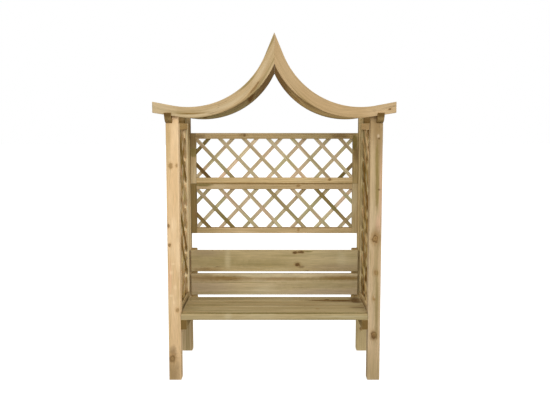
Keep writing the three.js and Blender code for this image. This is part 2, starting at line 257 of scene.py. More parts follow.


# 1 along the eased arrises, where the painted highlight goes. Curved is 1 for a piece whose faces bend round
# in the XZ plane.
def makeArris():
    tree, given, made = newGroup("arris", {"Normal": "Vector", "Curved": "Float"}, {"Mask": "Float"})
    level = vectorOf(tree, "ABSOLUTE", given.outputs["Normal"])
    x, y, z = addNode(tree, "ShaderNodeSeparateXYZ", {0: level}).outputs
    flat = mathOf(tree, "MAXIMUM", x, z)
    bent = vectorOf(tree, "LENGTH", vectorOf(tree, "MULTIPLY", level, (1.0, 0.0, 1.0)), output="Value")
    blend = {"Factor": given.outputs["Curved"], "A": flat, "B": bent}
    side = addNode(tree, "ShaderNodeMix", blend, data_type="FLOAT").outputs["Result"]
    square = mathOf(tree, "MAXIMUM", side, y)
    tree.links.new(smoothStep(tree, square, *normalEdges["arris"], 1.0, 0.0), made.inputs["Mask"])
    return tree


pineFigure = makePineFigure()
markGroup = makeMark()
endGrain = makeEndGrain()
arrisGroup = makeArris()


# The wood's tones, figure and finish, with a painted highlight along the arrises. Each piece takes them with
# a tint and changes of its own.
wood = {
    "early": paint(214, 187, 142),
    "late": paint(184, 147, 97),
    "stain": paint(150, 131, 78),
    "pale": paint(228, 205, 164),
    "knot": paint(98, 68, 36),
    "knotRim": paint(92, 64, 32),
    "check": paint(88, 66, 40),
    "brown": paint(136, 104, 48),
    "rose": paint(216, 178, 140),
    "dusk": paint(158, 130, 88),
    "mauve": paint(186, 158, 126),
    "unshaded": paint(196, 168, 122),
    "end": paint(128, 100, 60),
    "flesh": paint(172, 136, 86),
    "halo": paint(182, 144, 92),
    # painted highlight: an arris's tone is the wood's tone times this, mixed in by the highlight share
    "arris": (1.34, 1.3, 1.22),  # what an arris multiplies the wood's tone by
    "arrisShare": 0.5,
    "curved": 0.0,
    "course": (),
    "ringShare": 0.55,
    "streakShare": 0.55,
    "streakEdge": (0.48, 0.7),
    "cloudShare": 0.5,
    "cloudEdge": (0.5, 0.74),
    "fibreShare": 0.16,
    "fibreEdge": (0.25, 0.75),
    "checkShare": 0.7,
    "endShare": 0.85,
    "endRings": 0.25,
    "ringWidth": 0.0052,
    "sway": 0.022,
    "pithAside": (0.035, 0.06),  # how far the pith may lie from a piece's middle
    "pithBehind": (0.05, 0.09),
    "seedReach": 9.0,
    "roughness": (0.59, 0.75),
    "roughnessEdge": (0.2, 0.8),
    "specular": 0.0,
    "fibreHeight": 0.5,  # beside late wood's 1
    "checkHeight": -2.2,
    "bumpDistance": 0.0007,
    "bumpStrength": 0.35,
}

grainTurns = {
    "x": (0.0, math.radians(90), 0.0),
    "y": (math.radians(-90), 0.0, 0.0),
    "z": (0.0, 0.0, 0.0),
}


def grainAxis(turn):
    return Euler(turn).to_matrix() @ Vector((0, 0, 1))


def finishPine(tree, figure, look, masks, normal, grain):
    rings = mathOf(tree, "MULTIPLY", figure.outputs["Late Wood"], look["ringShare"])
    colour = mixColour(tree, rings, look["early"], look["late"])
    streak = smoothStep(tree, figure.outputs["Streak"], *look["streakEdge"], 0.0, look["streakShare"])
    colour = mixColour(tree, streak, colour, look["stain"])
    cloud = smoothStep(tree, figure.outputs["Cloud"], *look["cloudEdge"], 0.0, look["cloudShare"])
    colour = mixColour(tree, cloud, colour, look["pale"])
    # painted highlight: the arrises are made paler, as if catching the light
    arris = fillGroup(tree, arrisGroup, {"Normal": normal, "Curved": look["curved"]}).outputs["Mask"]
    highlighted = vectorOf(tree, "MULTIPLY", colour, look["arris"])
    colour = mixColour(tree, mathOf(tree, "MULTIPLY", arris, look["arrisShare"]), colour, highlighted)
    for share, tone in masks:
        colour = mixColour(tree, share, colour, tone)
    check = mathOf(tree, "MULTIPLY", figure.outputs["Check"], look["checkShare"])
    colour = mixColour(tree, check, colour, look["check"])
    spread = (1.0 - look["fibreShare"], 1.0 + look["fibreShare"])
    fibre = smoothStep(tree, figure.outputs["Fibre"], *look["fibreEdge"], *spread)
    shade = addNode(tree, "ShaderNodeCombineColor", {0: fibre, 1: fibre, 2: fibre}).outputs[0]
    colour = mixColour(tree, 1.0, colour, shade, "MULTIPLY")
    cut = fillGroup(tree, endGrain, {"Normal": normal, "Grain": grain}).outputs["Mask"]
    ringed = mixColour(tree, figure.outputs["Late Wood"], look["end"], look["knotRim"])
    endTone = mixColour(tree, look["endRings"], look["end"], ringed)
    colour = mixColour(tree, mathOf(tree, "MULTIPLY", cut, look["endShare"]), colour, endTone)

    ridges = mathOf(tree, "MULTIPLY_ADD", figure.outputs["Fibre"], look["fibreHeight"],
                    figure.outputs["Late Wood"])
    height = mathOf(tree, "MULTIPLY_ADD", figure.outputs["Check"], look["checkHeight"], ridges)
    bump = addNode(tree, "ShaderNodeBump", {
        "Strength": look["bumpStrength"],
        "Distance": look["bumpDistance"],
        "Height": height,
    })
    useShader(tree, {
        "Base Color": colour,
        "Roughness": smoothStep(tree, figure.outputs["Fibre"], *look["roughnessEdge"], *look["roughness"]),
        "Specular IOR Level": look["specular"],
        "Normal": bump.outputs["Normal"],
    })


# The wood's figure carried along a bent piece: height above its course, a polynomial in the distance
# from the middle of the seat
def alongCourse(tree, position, course):
    x, y, z = addNode(tree, "ShaderNodeSeparateXYZ", {0: position}).outputs
    reach = mathOf(tree, "ABSOLUTE", x)
    height = course[0]
    for factor in course[1:]:
        height = mathOf(tree, "MULTIPLY_ADD", height, reach, factor)
    above = mathOf(tree, "SUBTRACT", z, height)
    return addNode(tree, "ShaderNodeCombineXYZ", {0: x, 1: y, 2: above}).outputs[0]


# Pine for one piece of timber. A mark is (kind, centre, size), in metres of the whole seat.
def pineFor(name, low, high, turn, look, marks=()):
    material, tree = freshMaterial("pine_" + name)
    chance = random.Random(name)
    where = addNode(tree, "ShaderNodeTexCoord")
    position = where.outputs["Object"]
    middle = (low + high) / 2
    figureTurn = turn
    if look["course"]:
        position = alongCourse(tree, position, look["course"])
        middle.z = 0.0
        figureTurn = grainTurns["x"]
    place = position
    masks = []
    for kind, centre, size in marks:
        style = markStyles[kind]
        mark = fillGroup(tree, markGroup, {
            "Position": position,
            "Place": place,
            "Centre": centre,
            "Size": size,
            "Bend": style["bend"],
            "Soft Edge": style["softEdge"],
            "Wobble": style["wobble"],
        })
        place = mark.outputs["Place"]
        share = mathOf(tree, "MULTIPLY", mark.outputs["Mask"], style["share"])
        tone = look[style["tone"]]
        if style["halo"]:
            masks.append((mathOf(tree, "MULTIPLY", mark.outputs["Halo"], style["halo"]), look["halo"]))
            rim = mathOf(tree, "MULTIPLY", mark.outputs["Rim"], style["rim"])
            heart = mathOf(tree, "MULTIPLY", mark.outputs["Heart"], style["heart"])
            tone = mixColour(tree, mathOf(tree, "MAXIMUM", rim, heart), tone, look["knotRim"])
        masks.append((share, tone))
    sideStep = chance.choice((-1, 1)) * chance.uniform(*look["pithAside"])
    depthStep = chance.choice((-1, 1)) * chance.uniform(*look["pithBehind"])
    grain = grainAxis(figureTurn)
    sideways = grain.cross(Vector((0, 1, 0))) if abs(grain.y) < 0.5 else Vector((1, 0, 0))
    pith = middle + sideways.normalized() * sideStep + grain.cross(sideways).normalized() * depthStep
    local = addNode(tree, "ShaderNodeMapping", {
        "Vector": place,
        "Location": pith,
        "Rotation": figureTurn,
    }, vector_type="TEXTURE")
    seed = [chance.uniform(-look["seedReach"], look["seedReach"]) for axis in "xyz"]
    figure = fillGroup(tree, pineFigure, {
        "Place": local.outputs["Vector"],
        "Seed": seed,
        "Ring Width": look["ringWidth"],
        "Sway": look["sway"],
    })
    finishPine(tree, figure, look, masks, where.outputs["Normal"], grainAxis(turn))
    return material


def knotStyle(tone, share, softEdge, wobble, halo, rim, heart, bend=0.75):
    return {"tone": tone, "share": share, "bend": bend, "softEdge": softEdge, "wobble": wobble,
            "halo": halo, "rim": rim, "heart": heart}


def stainStyle(tone, share, softEdge, wobble, bend=0.0):
    return {"tone": tone, "share": share, "bend": bend, "softEdge": softEdge, "wobble": wobble, "halo": 0.0}


markStyles = {
    "knot": knotStyle("flesh", 0.85, softEdge=0.3, wobble=1.5, halo=0.45, rim=0.85, heart=0.35),
    "blackKnot": knotStyle("knot", 0.85, softEdge=0.35, wobble=1.4, halo=0.45, rim=0.3, heart=0.8),
    "paleKnot": knotStyle("flesh", 0.7, softEdge=0.4, wobble=1.5, halo=0.4, rim=0.4, heart=0.25),
    "pin": stainStyle("knotRim", 0.6, softEdge=0.4, wobble=1.0, bend=0.6),
    "shade": stainStyle("stain", 0.7, softEdge=0.6, wobble=1.0),
    "olive": stainStyle("stain", 0.85, softEdge=0.35, wobble=0.9),
    "moss": stainStyle("stain", 0.4, softEdge=0.9, wobble=1.2),
    "deep": stainStyle("knot", 0.75, softEdge=0.6, wobble=1.2),
    "dark": stainStyle("knot", 0.5, softEdge=0.6, wobble=1.0),
    "brown": stainStyle("brown", 0.78, softEdge=0.7, wobble=0.8),
    "dusk": stainStyle("dusk", 0.75, softEdge=0.85, wobble=1.1),
    "mauve": stainStyle("mauve", 0.6, softEdge=0.75, wobble=0.9),
    "rose": stainStyle("rose", 0.7, softEdge=0.6, wobble=0.9),
    "unshaded": stainStyle("unshaded", 0.8, softEdge=0.5, wobble=0.4),
    "glow": stainStyle("pale", 0.95, softEdge=0.8, wobble=0.5),
    "bright": stainStyle("pale", 0.6, softEdge=0.7, wobble=0.8),
    "lit": stainStyle("pale", 0.3, softEdge=0.8, wobble=0.8),
}


def tinted(look, red, green, blue, **changes):
    made = dict(look)
    for key in ("early", "late", "stain", "pale", "halo", "rose", "mauve"):
        level = made[key]
        made[key] = (level[0] * red, level[1] * green, level[2] * blue, 1.0)
    made.update(changes)
    return made


# Timber: each CAD piece merged, its saw-cut edges eased, and its wood given
easing = {
    "mergeDistance": 0.00002,
    "flatAngle": math.radians(0.6),  # faces that meet at less than this become one
    "sharpAngle": math.radians(50),  # edges over this are eased
    "shadeAngle": math.radians(48),  # edges over this stay crisp in the shading
}


def easedCopy(node, ease, segments, plumbCut):
    form = bmesh.new()
    form.from_mesh(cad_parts[node].data)
    bmesh.ops.remove_doubles(form, verts=form.verts, dist=easing["mergeDistance"])
    bmesh.ops.dissolve_limit(form, angle_limit=easing["flatAngle"], verts=form.verts, edges=form.edges)
    sharp = [
        edge for edge in form.edges
        if edge.is_manifold and edge.calc_face_angle(0) > easing["sharpAngle"]
    ]
    if plumbCut:
        sharp = [edge for edge in sharp if max(abs(vert.co.x) for vert in edge.verts) > plumbCut]
    bmesh.ops.bevel(form, geom=sharp, offset=ease, offset_type="OFFSET", affect="EDGES", segments=segments,
                    profile=0.5, material=-1, clamp_overlap=True)
    for edge in form.edges:
        edge.smooth = not edge.is_manifold or edge.calc_face_angle(0) < easing["shadeAngle"]
    for face in form.faces:
        face.smooth = True
    return form


def pieceFrom(form, name, material, replaced=()):
    mesh = bpy.data.meshes.new(name)
    form.to_mesh(mesh)
    form.free()
    mesh.materials.append(material)
    piece = bpy.data.objects.new(name, mesh)
    scene.collection.objects.link(piece)
    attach(piece, "root")
    if replaced:
        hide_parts(*replaced)
    return piece


def makeTimber(node, turn, look, ease, segments=2, marks=(), plumbCut=0.0):
    low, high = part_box(node)
    material = pineFor(node, low, high, turn, look, marks)
    piece = pieceFrom(easedCopy(node, ease, segments, plumbCut), node + "_timber", material, [node])
    weighted = piece.modifiers.new("even shading", "WEIGHTED_NORMAL")
    weighted.keep_sharp = True


posts = {
    "ease": 0.0016,
    "looks": {
        "post_front_left": tinted(wood, 1.28, 1.21, 1.2, streakShare=0.3, ringShare=0.35),
        "post_front_right": tinted(wood, 0.96, 0.95, 1.0, streakShare=0.6),
        "post_back_left": tinted(wood, 0.94, 0.97, 0.98),
        "post_back_right": tinted(wood, 1.1, 1.18, 1.14),
    },
    "marks": {
        "post_front_left": [
            ("paleKnot", (-0.600, -0.328, 1.274), (0.011, 0.02, 0.015)),
            ("paleKnot", (-0.562, -0.328, 1.276), (0.007, 0.02, 0.010)),
            ("knot", (-0.617, -0.328, 0.924), (0.008, 0.02, 0.011)),
            ("knot", (-0.612, -0.328, 0.812), (0.008, 0.02, 0.010)),
            ("bright", (-0.585, -0.328, 0.93), (0.018, 0.03, 0.040)),
            ("bright", (-0.565, -0.328, 0.76), (0.010, 0.03, 0.110)),
            ("rose", (-0.612, -0.328, 0.62), (0.010, 0.03, 0.090)),
            ("dark", (-0.600, -0.328, 0.165), (0.018, 0.03, 0.040)),
            ("knot", (-0.606, -0.328, 0.130), (0.016, 0.03, 0.022)),
            ("paleKnot", (-0.571, -0.328, 0.425), (0.009, 0.02, 0.011)),
            ("dusk", (-0.600, -0.328, 0.04), (0.040, 0.05, 0.095)),
            ("moss", (-0.616, -0.328, 1.40), (0.014, 0.03, 0.150)),
            # painted light: the inner face made paler along its height, as if lit from the side
            ("bright", (-0.553, -0.285, 0.80), (0.007, 0.060, 0.80)),
            ("bright", (-0.553, -0.285, 1.28), (0.007, 0.060, 0.30)),
            ("bright", (-0.592, -0.328, 0.700), (0.011, 0.02, 0.006)),
            ("bright", (-0.604, -0.328, 0.648), (0.009, 0.02, 0.010)),
            ("bright", (-0.584, -0.328, 0.560), (0.008, 0.02, 0.013)),
            ("bright", (-0.606, -0.328, 0.510), (0.010, 0.02, 0.007)),
            ("bright", (-0.590, -0.328, 0.470), (0.007, 0.02, 0.010)),
        ],
        "post_front_right": [
            ("moss", (0.590, -0.328, 0.05), (0.050, 0.05, 0.09)),
            ("lit", (0.590, -0.328, 0.40), (0.050, 0.03, 0.25)),
            ("moss", (0.590, -0.328, 1.20), (0.050, 0.03, 0.30)),
            # painted light: the inner face made paler, as if lit from the side
            ("bright", (0.553, -0.285, 0.50), (0.007, 0.060, 0.34)),
            ("bright", (0.553, -0.285, 0.55), (0.007, 0.060, 0.24)),
            ("dusk", (0.606, -0.328, 1.44), (0.028, 0.05, 0.160)),
            ("dusk", (0.575, -0.328, 1.50), (0.030, 0.05, 0.080)),
            ("bright", (0.598, -0.328, 1.446), (0.007, 0.02, 0.010)),
            ("pin", (0.602, -0.328, 1.432), (0.006, 0.02, 0.006)),
            ("olive", (0.592, -0.328, 1.31), (0.009, 0.03, 0.10)),
            ("olive", (0.597, -0.328, 1.15), (0.010, 0.03, 0.12)),
            ("rose", (0.617, -0.328, 1.13), (0.009, 0.03, 0.22)),
            ("rose", (0.606, -0.328, 0.935), (0.016, 0.03, 0.050)),
            ("lit", (0.568, -0.328, 1.16), (0.012, 0.03, 0.26)),
            ("pin", (0.606, -0.328, 1.137), (0.008, 0.02, 0.006)),
            ("dusk", (0.594, -0.328, 0.86), (0.026, 0.03, 0.045)),
            ("knot", (0.588, -0.328, 0.850), (0.018, 0.03, 0.024)),
            ("paleKnot", (0.596, -0.328, 0.648), (0.012, 0.02, 0.014)),
            ("paleKnot", (0.586, -0.328, 0.496), (0.009, 0.02, 0.013)),
            ("bright", (0.592, -0.328, 0.505), (0.006, 0.02, 0.009)),
            ("knot", (0.590, -0.328, 0.274), (0.017, 0.03, 0.022)),
            ("dark", (0.586, -0.328, 0.262), (0.018, 0.03, 0.018)),
            ("shade", (0.603, -0.328, 0.45), (0.010, 0.03, 0.20)),
        ],
        "post_back_left": [
            ("moss", (-0.589, 0.256, 1.35), (0.07, 0.05, 0.15)),
            # painted shade: a darker patch at the post's top under the rear arch, and a dark strip down the
            # inner face
            ("dark", (-0.562, 0.256, 1.50), (0.016, 0.05, 0.080)),
            ("deep", (-0.551, 0.300, 1.30), (0.004, 0.040, 0.40)),
            ("glow", (-0.589, 0.256, 0.85), (0.07, 0.05, 0.20)),
            ("knot", (-0.585, 0.26, 0.62), (0.010, 0.02, 0.013)),
        ],
        "post_back_right": [
            # painted shade: a dark strip down the inner face
            ("dark", (0.551, 0.300, 1.40), (0.004, 0.040, 0.30)),
            ("knot", (0.580, 0.26, 0.15), (0.009, 0.02, 0.010)),
            ("knot", (0.600, 0.328, 1.05), (0.012, 0.02, 0.015)),
        ],
    },
}

for node, look in posts["looks"].items():
    makeTimber(node, grainTurns["z"], look, posts["ease"], marks=posts["marks"][node])

arches = {
    "ease": 0.003,
    "segments": 3,
    "chordTurn": 58.7,  # degrees from upright, along the plank that a half is sawn from
    "course": (2.825, -5.692, 5.0, -2.13, 1.932),  # the middle line's height, highest power first
    "plumbCut": 0.001,  # edges nearer to the middle than this belong to the apex cut and stay sharp
    "looks": {
        "arch_front_left": tinted(wood, 0.88, 0.88, 0.88, streakShare=0.6, cloudShare=0.6),
        "arch_front_right": tinted(wood, 0.82, 0.77, 0.73, streakShare=0.3, cloudShare=0.3, ringShare=0.25),
        # painted shade: the rear arches are tinted far darker than the front ones, for the shade they stand
        # in behind the front arches
        "arch_back_left": tinted(wood, 0.5, 0.52, 0.46),
        "arch_back_right": tinted(wood, 0.64, 0.61, 0.49),
    },
    # a mark's third number is its height above the middle line
    "marks": {
        "arch_front_left": [
            ("shade", (-0.150, -0.372, 0.036), (0.050, 0.02, 0.008)),
            ("knot", (-0.110, -0.372, -0.032), (0.024, 0.02, 0.008)),
            ("bright", (-0.460, -0.372, -0.022), (0.130, 0.02, 0.006)),
            ("brown", (-0.450, -0.372, -0.009), (0.090, 0.02, 0.004)),
            ("dusk", (-0.230, -0.372, -0.036), (0.150, 0.02, 0.006)),
            ("bright", (-0.280, -0.372, -0.006), (0.130, 0.02, 0.012)),
            ("bright", (-0.080, -0.372, 0.010), (0.040, 0.02, 0.020)),
            ("bright", (-0.650, -0.372, 0.0), (0.080, 0.02, 0.050)),
        ],
        "arch_front_right": [
            ("shade", (0.180, -0.372, -0.038), (0.120, 0.02, 0.005)),
            ("bright", (0.620, -0.372, 0.0), (0.080, 0.02, 0.050)),
            ("blackKnot", (0.656, -0.372, -0.004), (0.009, 0.02, 0.005)),
            ("lit", (0.080, -0.372, 0.0), (0.060, 0.02, 0.100)),
        ],
        "arch_back_left": [
            ("blackKnot", (-0.155, 0.328, -0.012), (0.018, 0.03, 0.022)),
            # painted shade: a dark band under the front arch's lower edge and a darker patch at the apex
            ("dark", (-0.150, 0.328, 0.004), (0.160, 0.02, 0.016)),
            ("deep", (-0.010, 0.328, -0.050), (0.130, 0.02, 0.080)),
            ("blackKnot", (-0.459, 0.328, -0.018), (0.012, 0.03, 0.008)),
            ("shade", (-0.450, 0.328, -0.010), (0.080, 0.03, 0.008)),
            # the plain tone laid back over the back face, to lift the painted shade off it
            ("unshaded", (-0.350, 0.380, 0.0), (0.900, 0.03, 0.400)),
        ],
        "arch_back_right": [
            ("paleKnot", (0.149, 0.328, -0.030), (0.012, 0.03, 0.010)),
            # painted shade: a dark band under the front arch's lower edge and a darker patch at the apex
            ("dark", (0.150, 0.328, 0.002), (0.180, 0.02, 0.014)),
            ("deep", (0.010, 0.328, -0.050), (0.110, 0.02, 0.080)),
            # the plain tone laid back over the back face, to lift the painted shade off it
            ("unshaded", (0.350, 0.380, 0.0), (0.900, 0.03, 0.400)),
        ],
    },
}

for node, look in arches["looks"].items():
    look = dict(look, curved=1.0, course=arches["course"])
    lean = arches["chordTurn"] if node.endswith("left") else -arches["chordTurn"]
    turn = (0.0, math.radians(lean), 0.0)
    makeTimber(node, turn, look, arches["ease"], arches["segments"], arches["marks"][node],
               arches["plumbCut"])

rails = {
    "ease": 0.0025,
    "segments": 3,
    # painted shade: the rails are tinted dark for the shade on their inner faces and noses under the arches;
    # the end tone, darker still, is both end grain and painted shade on the sloping noses
    "look": tinted(wood, 0.58, 0.52, 0.38, arrisShare=0.0, end=paint(104, 78, 40)),
}
for side in ("left", "right"):
    makeTimber("side_top_rail_" + side, grainTurns["y"], rails["look"], rails["ease"],
               rails["segments"])

seat = {
    "ease": 0.0012,
    "look": tinted(wood, 0.78, 0.83, 0.8, arrisShare=0.0, ringShare=0.35, streakShare=0.35,
                   end=paint(150, 124, 80)),
    "marks": {
        "seat_front_strip": [
            ("olive", (0.0, -0.300, 0.4), (0.60, 0.022, 0.003)),
            ("bright", (-0.273, -0.328, 0.385), (0.02, 0.02, 0.02)),
            ("bright", (0.40, -0.328, 0.385), (0.16, 0.02, 0.006)),
            ("shade", (0.30, -0.328, 0.370), (0.25, 0.02, 0.003)),
        ],
        "seat_board_front": [
            ("moss", (0.2, -0.18, 0.4), (0.25, 0.010, 0.01)),
            ("lit", (0.34, -0.215, 0.4), (0.13, 0.012, 0.01)),
            ("moss", (-0.30, -0.245, 0.4), (0.22, 0.014, 0.01)),
            # painted shade on the board beside the right-hand side panel
            ("dark", (0.51, -0.160, 0.4), (0.05, 0.025, 0.01)),
            ("moss", (-0.50, -0.200, 0.4), (0.06, 0.050, 0.01)),
            ("bright", (0.08, -0.225, 0.4), (0.05, 0.006, 0.01)),
            ("paleKnot", (0.262, -0.200, 0.4), (0.012, 0.007, 0.02)),
        ],
        "seat_board_middle": [
            ("moss", (-0.25, -0.03, 0.4), (0.2, 0.014, 0.01)),
            ("dusk", (0.10, -0.10, 0.4), (0.25, 0.010, 0.01)),
            ("deep", (0.43, 0.000, 0.4), (0.12, 0.012, 0.01)),
            ("lit", (0.40, -0.070, 0.4), (0.10, 0.010, 0.01)),
            ("moss", (-0.42, -0.09, 0.4), (0.12, 0.020, 0.01)),
            # painted shade on the board beside the right-hand side panel
            ("deep", (0.52, -0.02, 0.4), (0.035, 0.030, 0.01)),
        ],
        "seat_board_back": [
            ("brown", (0.37, 0.028, 0.4), (0.16, 0.014, 0.01)),
            ("deep", (0.30, 0.022, 0.4), (0.07, 0.008, 0.01)),
            ("blackKnot", (0.335, 0.045, 0.4), (0.014, 0.008, 0.02)),
            ("deep", (0.44, 0.022, 0.4), (0.08, 0.014, 0.01)),
            # painted shade on the board beside the right-hand side panel
            ("deep", (0.515, 0.05, 0.4), (0.030, 0.060, 0.02)),
            ("moss", (-0.35, 0.06, 0.4), (0.20, 0.020, 0.01)),
        ],
    },
}
for node, marks in seat["marks"].items():
    makeTimber(node, grainTurns["x"], seat["look"], seat["ease"], marks=marks)

backrest = {
    "ease": 0.0012,
    "looks": {
        "backrest_board_upper": tinted(wood, 0.85, 0.92, 0.9, arrisShare=0.2, ringShare=0.3, streakShare=0.3),
        "backrest_board_lower": tinted(wood, 0.93, 1.01, 1.08, arrisShare=0.2, ringShare=0.25,
                                       streakShare=0.25),
    },
    "marks": {
        "backrest_board_upper": [
            ("moss", (-0.37, 0.228, 0.615), (0.15, 0.02, 0.040)),
            ("moss", (-0.05, 0.228, 0.600), (0.16, 0.02, 0.030)),
            ("bright", (-0.309, 0.228, 0.63), (0.018, 0.02, 0.060)),
            ("lit", (0.36, 0.228, 0.640), (0.20, 0.02, 0.060)),
            ("bright", (0.441, 0.228, 0.625), (0.028, 0.02, 0.050)),
            ("mauve", (0.42, 0.228, 0.572), (0.17, 0.02, 0.026)),
            ("mauve", (-0.44, 0.228, 0.672), (0.10, 0.02, 0.022)),
            ("moss", (0.08, 0.228, 0.652), (0.10, 0.02, 0.006)),
            ("dusk", (-0.46, 0.228, 0.560), (0.10, 0.02, 0.012)),
            ("blackKnot", (0.138, 0.228, 0.673), (0.016, 0.02, 0.008)),
            ("blackKnot", (0.176, 0.228, 0.677), (0.020, 0.02, 0.008)),
            ("olive", (0.222, 0.228, 0.680), (0.030, 0.02, 0.004)),
            ("blackKnot", (0.152, 0.228, 0.594), (0.017, 0.02, 0.012)),
            ("dark", (0.178, 0.228, 0.578), (0.022, 0.02, 0.008)),
        ],
        "backrest_board_lower": [
            ("bright", (0.07, 0.228, 0.523), (0.30, 0.02, 0.010)),
            ("mauve", (-0.44, 0.228, 0.440), (0.16, 0.02, 0.040)),
            ("mauve", (0.36, 0.228, 0.408), (0.26, 0.02, 0.018)),
            ("brown", (-0.33, 0.228, 0.500), (0.13, 0.02, 0.015)),
            ("dusk", (-0.49, 0.228, 0.503), (0.09, 0.02, 0.020)),
            ("dusk", (0.05, 0.228, 0.498), (0.28, 0.02, 0.010)),
            ("brown", (0.45, 0.228, 0.502), (0.14, 0.02, 0.015)),
            ("moss", (0.30, 0.228, 0.497), (0.16, 0.02, 0.008)),
            ("moss", (0.32, 0.228, 0.458), (0.26, 0.02, 0.018)),
            ("shade", (-0.23, 0.228, 0.474), (0.30, 0.02, 0.0022)),
            ("moss", (-0.30, 0.228, 0.404), (0.25, 0.02, 0.008)),
        ],
    },
}
for node, look in backrest["looks"].items():
    makeTimber(node, grainTurns["x"], look, backrest["ease"], marks=backrest["marks"][node])

bearers = {"ease": 0.0012, "look": tinted(wood, 0.78, 0.76, 0.62, end=paint(121, 94, 48))}
for side in ("left", "right"):
    makeTimber("seat_bearer_" + side, grainTurns["y"], bearers["look"], bearers["ease"])
    makeTimber("backrest_batten_" + side, grainTurns["z"], bearers["look"], bearers["ease"])
print("posts, arches, rails, seat and backrest made")

trellisFrames = {
    "ease": 0.0007,
    # how much lighter or darker than the common look each member is
    "tints": {
        "back_panel_upper_top_rail": (0.82, 0.82, 0.76),
        "back_panel_upper_bottom_rail": (1.1, 1.12, 1.07),
        "back_panel_upper_left_stile": (0.92, 0.95, 0.94),
        "back_panel_upper_right_stile": (0.72, 0.74, 0.64),
        "back_panel_lower_top_rail": (0.9, 0.91, 0.9),
        "back_panel_lower_bottom_rail": (1.18, 1.2, 1.3),
        "back_panel_lower_left_stile": (0.47, 0.46, 0.34),
        "back_panel_lower_right_stile": (0.87, 0.93, 0.93),
        "side_panel_left_top_rail": (0.94, 0.86, 0.66),
        "side_panel_left_bottom_rail": (0.84, 0.86, 0.8),
        # painted light: the left side panel's stiles are made paler than the right side's, as if lit from the
        # right
        "side_panel_left_front_stile": (1.2, 1.2, 1.1),
        "side_panel_left_back_stile": (1.46, 1.62, 1.84),
        "side_panel_right_top_rail": (1.2, 1.14, 1.04),
        "side_panel_right_bottom_rail": (1.08, 1.1, 1.08),
        "side_panel_right_front_stile": (1.0, 1.0, 0.92),
        "side_panel_right_back_stile": (0.88, 0.94, 0.9),
    },
    "marks": {
        "back_panel_upper_top_rail": [
            ("dusk", (-0.206, 0.272, 1.448), (0.026, 0.02, 0.014)),
            ("pin", (-0.196, 0.272, 1.444), (0.008, 0.02, 0.009)),
            ("moss", (0.300, 0.272, 1.440), (0.220, 0.02, 0.030)),
            ("dark", (0.430, 0.272, 1.440), (0.055, 0.02, 0.018)),
            ("dark", (-0.49, 0.272, 1.436), (0.035, 0.02, 0.012)),
        ],
        "back_panel_upper_bottom_rail": [
            ("brown", (0.0, 0.272, 1.1275), (0.75, 0.02, 0.0045)),
            ("knot", (0.366, 0.272, 1.154), (0.010, 0.02, 0.008)),
        ],
        "back_panel_lower_top_rail": [
            ("brown", (0.0, 0.272, 1.1275), (0.75, 0.02, 0.0055)),
            ("paleKnot", (0.158, 0.272, 1.113), (0.010, 0.02, 0.009)),
            ("bright", (-0.379, 0.272, 1.105), (0.05, 0.02, 0.012)),
            ("olive", (-0.47, 0.272, 1.118), (0.06, 0.02, 0.010)),
        ],
        "back_panel_lower_bottom_rail": [
            ("brown", (0.0, 0.272, 0.8345), (0.75, 0.02, 0.004)),
            ("paleKnot", (0.159, 0.272, 0.823), (0.007, 0.02, 0.014)),
        ],
        "back_panel_upper_left_stile": [
            ("moss", (-0.535, 0.272, 1.41), (0.04, 0.03, 0.075)),
            ("dark", (-0.535, 0.272, 1.41), (0.04, 0.03, 0.07)),
            ("olive", (-0.535, 0.272, 1.33), (0.04, 0.03, 0.03)),
            ("bright", (-0.522, 0.272, 1.20), (0.012, 0.02, 0.06)),
        ],
        "back_panel_lower_left_stile": [("rose", (-0.520, 0.272, 0.93), (0.016, 0.02, 0.035))],
        "back_panel_upper_right_stile": [
            ("dark", (0.540, 0.272, 1.32), (0.02, 0.03, 0.05)),
            ("olive", (0.525, 0.272, 1.40), (0.02, 0.03, 0.05)),
        ],
        "back_panel_lower_right_stile": [("bright", (0.528, 0.272, 1.02), (0.02, 0.02, 0.07))],
    },
}


# Each panel's upright members, the way its rails run, and whether its outer face is on its own +Y side
backStiles = ("left_stile", "right_stile")
sideStiles = ("front_stile", "back_stile")
panels = {
    "back_panel_upper_": {"kind": "back", "stiles": backStiles, "along": "x", "outward": 1},
    "back_panel_lower_": {"kind": "back", "stiles": backStiles, "along": "x", "outward": 1},
    "side_panel_left_": {"kind": "side", "stiles": sideStiles, "along": "y", "outward": 1},
    "side_panel_right_": {"kind": "side", "stiles": sideStiles, "along": "y", "outward": -1},
}


def makePanelFrame(prefix, panel):
    for part in ("top_rail", "bottom_rail", *panel["stiles"]):
        node = prefix + part
        grain = panel["along"] if part.endswith("rail") else "z"
        look = tinted(wood, *trellisFrames["tints"][node], arrisShare=0.0)
        makeTimber(node, grainTurns[grain], look, trellisFrames["ease"],
                   marks=trellisFrames["marks"].get(node, ()))


for prefix, panel in panels.items():
    makePanelFrame(prefix, panel)
print("trellis frames made")


